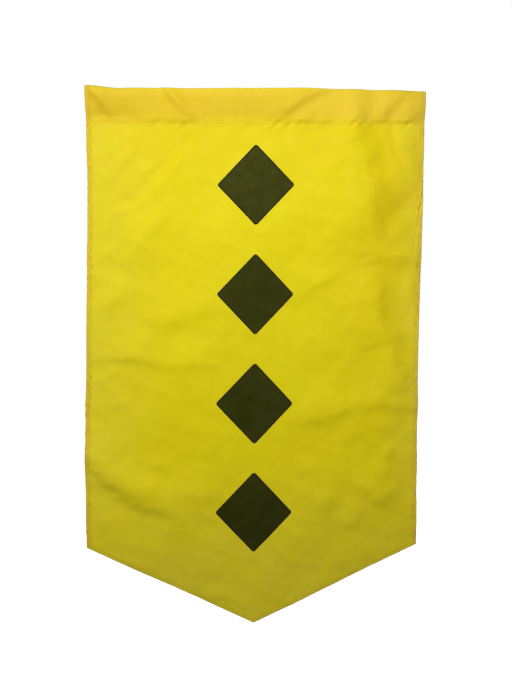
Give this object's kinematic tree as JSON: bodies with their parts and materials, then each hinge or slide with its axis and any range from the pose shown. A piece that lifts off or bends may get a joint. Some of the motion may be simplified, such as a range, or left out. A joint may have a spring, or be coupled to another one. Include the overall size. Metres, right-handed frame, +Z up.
{
  "type": "pointed fabric banner with pole sleeve",
  "caption": "Upright yellow fabric banner with a pole sleeve along its top, hemmed sides, a pointed bottom edge and dark diamond appliques down its middle.",
  "frame": {"origin": "middle of the banner's width, on the underside of the sleeve's top fold, where a pole through the sleeve carries it", "axes": "+Z up, +X along the sleeve to the right as seen from the front, -Y out of the banner's face"},
  "size_m": [0.762, 0.029, 1.2208],
  "materials": {
    "yellow_nylon": "thin woven nylon, semi-gloss",
    "doubled_yellow_nylon": "woven nylon in two or more layers, warmer in colour",
    "dark_nylon": "woven nylon, semi-matte",
    "yellow_thread": "polyester sewing thread",
    "dark_thread": "polyester sewing thread, satin stitch"
  },
  "bodies": {
    "sleeve": {"pole_sleeve": "doubled_yellow_nylon", "left_sleeve_hem": "doubled_yellow_nylon", "right_sleeve_hem": "doubled_yellow_nylon", "sleeve_turned_edge": "doubled_yellow_nylon", "sleeve_seam_needle_thread": "yellow_thread", "sleeve_seam_bobbin_thread": "yellow_thread", "left_sleeve_hem_thread": "yellow_thread", "right_sleeve_hem_thread": "yellow_thread"},
    "panel": {"banner_panel": "yellow_nylon", "left_side_hem": "doubled_yellow_nylon", "right_side_hem": "doubled_yellow_nylon", "left_bottom_hem": "doubled_yellow_nylon", "right_bottom_hem": "doubled_yellow_nylon", "left_side_hem_needle_thread": "yellow_thread", "left_side_hem_bobbin_thread": "yellow_thread", "left_bottom_hem_needle_thread": "yellow_thread", "left_bottom_hem_bobbin_thread": "yellow_thread", "right_side_hem_needle_thread": "yellow_thread", "right_side_hem_bobbin_thread": "yellow_thread", "right_bottom_hem_needle_thread": "yellow_thread", "right_bottom_hem_bobbin_thread": "yellow_thread", "applique_1": "dark_nylon", "applique_2": "dark_nylon", "applique_3": "dark_nylon", "applique_4": "dark_nylon", "applique_1_border": "dark_thread", "applique_2_border": "dark_thread", "applique_3_border": "dark_thread", "applique_4_border": "dark_thread"}
  },
  "joints": [
    {"name": "panel_swing", "type": "hinge", "parent": "sleeve", "child": "panel", "pos_m": [0, 0, -0.0844], "axis": [1, 0, 0], "range_deg": [-85, 85]}
  ]
}
